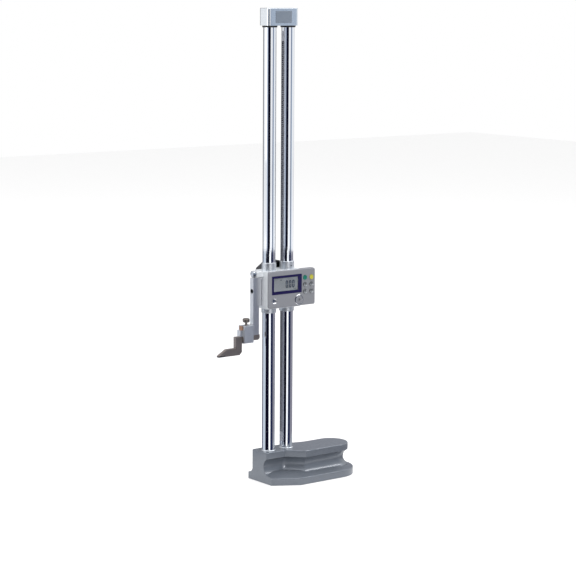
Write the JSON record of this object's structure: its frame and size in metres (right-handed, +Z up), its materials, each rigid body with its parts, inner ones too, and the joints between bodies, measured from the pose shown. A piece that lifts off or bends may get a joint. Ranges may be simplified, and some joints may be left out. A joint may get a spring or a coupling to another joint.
{
  "type": "height gauge",
  "caption": "Double-column digital height gauge: cast base with grip groove, rack-driven slider with display, keys, arm, clamp box and carbide-tipped scriber.",
  "frame": {"origin": "on the sole of the base, under the axis of the main column", "axes": "+Z up along the columns, +X along the base towards its hand grip, the display faces -Y"},
  "size_m": [0.2707, 0.121, 0.806],
  "materials": {
    "cast_paint": "satin hammered enamel",
    "case_paint": "fine satin",
    "case_dark": "fine satin",
    "chrome": "polished",
    "satin_plate": "satin chrome plated",
    "ground_steel": "ground",
    "rack_steel": "dark ground",
    "dark_steel": "blackened",
    "black_steel": "black oxide",
    "carbide": "lapped",
    "copper": "rolled",
    "bronze": "turned",
    "rubber": "matte",
    "navy": "gloss",
    "window": "clear",
    "lcd": "satin",
    "board": "satin",
    "key_green": "satin",
    "key_yellow": "satin",
    "key_grey": "satin",
    "plate": "satin",
    "fibre": "matte"
  },
  "bodies": {
    "base": {"base": "cast_paint", "main_column": "chrome", "sub_column": "chrome", "feed_rack": "rack_steel", "rack_screws": "black_steel", "column_collars": "chrome", "column_screws": "black_steel", "top_cap": "cast_paint", "cap_plate": "plate", "cap_screws": "black_steel", "column_buffers": "rubber"},
    "slider": {"slider_body": "satin_plate", "upper_guide_sleeves": "ground_steel", "lower_guide_sleeves": "ground_steel", "sleeve_set_screw": "black_steel", "feed_front_bush": "bronze", "feed_rear_bush": "bronze", "brake_washer": "fibre", "brake_spring": "ground_steel", "drive_cover": "case_dark", "drive_cover_screws": "black_steel", "encoder_front_bush": "bronze", "encoder_rear_bush": "bronze", "display_case": "case_paint", "display_rear_shell": "case_paint", "bezel": "navy", "display_window": "window", "lcd_panel": "lcd", "circuit_board": "board", "key_switches": "chrome", "probe_socket": "case_paint", "case_screw": "chrome", "battery_tray": "case_dark", "battery": "chrome", "battery_cover": "case_dark", "scriber_arm": "ground_steel", "arm_screw": "black_steel", "arm_dowels": "ground_steel"},
    "feed_drive": {"feed_pinion": "ground_steel", "feed_shaft": "ground_steel", "feed_wheel": "case_dark", "wheel_screw": "ground_steel", "finger_knob_pin": "ground_steel"},
    "finger_knob": {"finger_knob": "case_dark"},
    "encoder": {"encoder_pinion": "ground_steel", "encoder_rotor": "board"},
    "clamp_pad": {"clamp_pad": "bronze"},
    "clamp_knob": {"clamp_knob": "chrome"},
    "clamp_box": {"scriber_clamp": "ground_steel"},
    "pressure_leaf": {"pressure_leaf": "copper"},
    "thumb_screw": {"thumb_screw": "dark_steel"},
    "scriber": {"scriber": "dark_steel", "scriber_tip": "carbide"},
    "key_green": {"key_green": "key_green"},
    "key_yellow": {"key_yellow": "key_yellow"},
    "key_grey_1": {"key_grey_1": "key_grey"},
    "key_grey_2": {"key_grey_2": "key_grey"},
    "key_grey_3": {"key_grey_3": "key_grey"},
    "key_grey_4": {"key_grey_4": "key_grey"}
  },
  "joints": [
    {"name": "slider_slide", "type": "slide", "parent": "base", "child": "slider", "axis": [0, 0, 1], "range_m": [-0.227, 0.394]},
    {"name": "feed_spin", "type": "hinge", "parent": "slider", "child": "feed_drive", "pos_m": [0.0219, 0, 0.34], "axis": [0, 1, 0], "range_deg": [-1859, 3225.9]},
    {"name": "encoder_spin", "type": "hinge", "parent": "slider", "child": "encoder", "pos_m": [0.0229, 0, 0.32115], "axis": [0, 1, 0], "range_deg": [-2168.7, 3763.4]},
    {"name": "finger_knob_spin", "type": "hinge", "parent": "feed_drive", "child": "finger_knob", "pos_m": [0.0329, 0.0455, 0.34], "axis": [0, 1, 0], "continuous": true},
    {"name": "clamp_pad_slide", "type": "slide", "parent": "slider", "child": "clamp_pad", "axis": [1, 0, 0], "range_m": [0, 0.0002756]},
    {"name": "clamp_knob_turn", "type": "hinge", "parent": "clamp_pad", "child": "clamp_knob", "pos_m": [-0.032, 0, 0.362], "axis": [1, 0, 0], "range_deg": [0, 125]},
    {"name": "clamp_box_slide", "type": "slide", "parent": "slider", "child": "clamp_box", "axis": [1, 0, 0], "range_m": [-0.0006, 0.0017]},
    {"name": "leaf_lift", "type": "slide", "parent": "clamp_box", "child": "pressure_leaf", "axis": [0, 0, 1], "range_m": [0, 0.000796]},
    {"name": "thumb_screw_turn", "type": "hinge", "parent": "pressure_leaf", "child": "thumb_screw", "pos_m": [-0.0476, 0, 0.275], "axis": [0, 0, 1], "range_deg": [0, 410]},
    {"name": "scriber_slide", "type": "slide", "parent": "slider", "child": "scriber", "axis": [1, 0, 0], "range_m": [-0.012, 0.0006]},
    {"name": "key_green_press", "type": "slide", "parent": "slider", "child": "key_green", "axis": [0, 1, 0], "range_m": [0, 0.0005], "stiffness_N_per_m": 1500, "springref_m": -0.0003},
    {"name": "key_yellow_press", "type": "slide", "parent": "slider", "child": "key_yellow", "axis": [0, 1, 0], "range_m": [0, 0.0005], "stiffness_N_per_m": 1500, "springref_m": -0.0003},
    {"name": "key_grey_1_press", "type": "slide", "parent": "slider", "child": "key_grey_1", "axis": [0, 1, 0], "range_m": [0, 0.0005], "stiffness_N_per_m": 1500, "springref_m": -0.0003},
    {"name": "key_grey_2_press", "type": "slide", "parent": "slider", "child": "key_grey_2", "axis": [0, 1, 0], "range_m": [0, 0.0005], "stiffness_N_per_m": 1500, "springref_m": -0.0003},
    {"name": "key_grey_3_press", "type": "slide", "parent": "slider", "child": "key_grey_3", "axis": [0, 1, 0], "range_m": [0, 0.0005], "stiffness_N_per_m": 1500, "springref_m": -0.0003},
    {"name": "key_grey_4_press", "type": "slide", "parent": "slider", "child": "key_grey_4", "axis": [0, 1, 0], "range_m": [0, 0.0005], "stiffness_N_per_m": 1500, "springref_m": -0.0003}
  ],
  "couplings": [
    {"joint": "feed_spin", "follows": "slider_slide", "rad_per_m": 142.86},
    {"joint": "encoder_spin", "follows": "slider_slide", "rad_per_m": 166.67},
    {"joint": "clamp_knob_turn", "follows": "clamp_pad_slide", "rad_per_m": 7854},
    {"joint": "thumb_screw_turn", "follows": "leaf_lift", "rad_per_m": 8976}
  ]
}
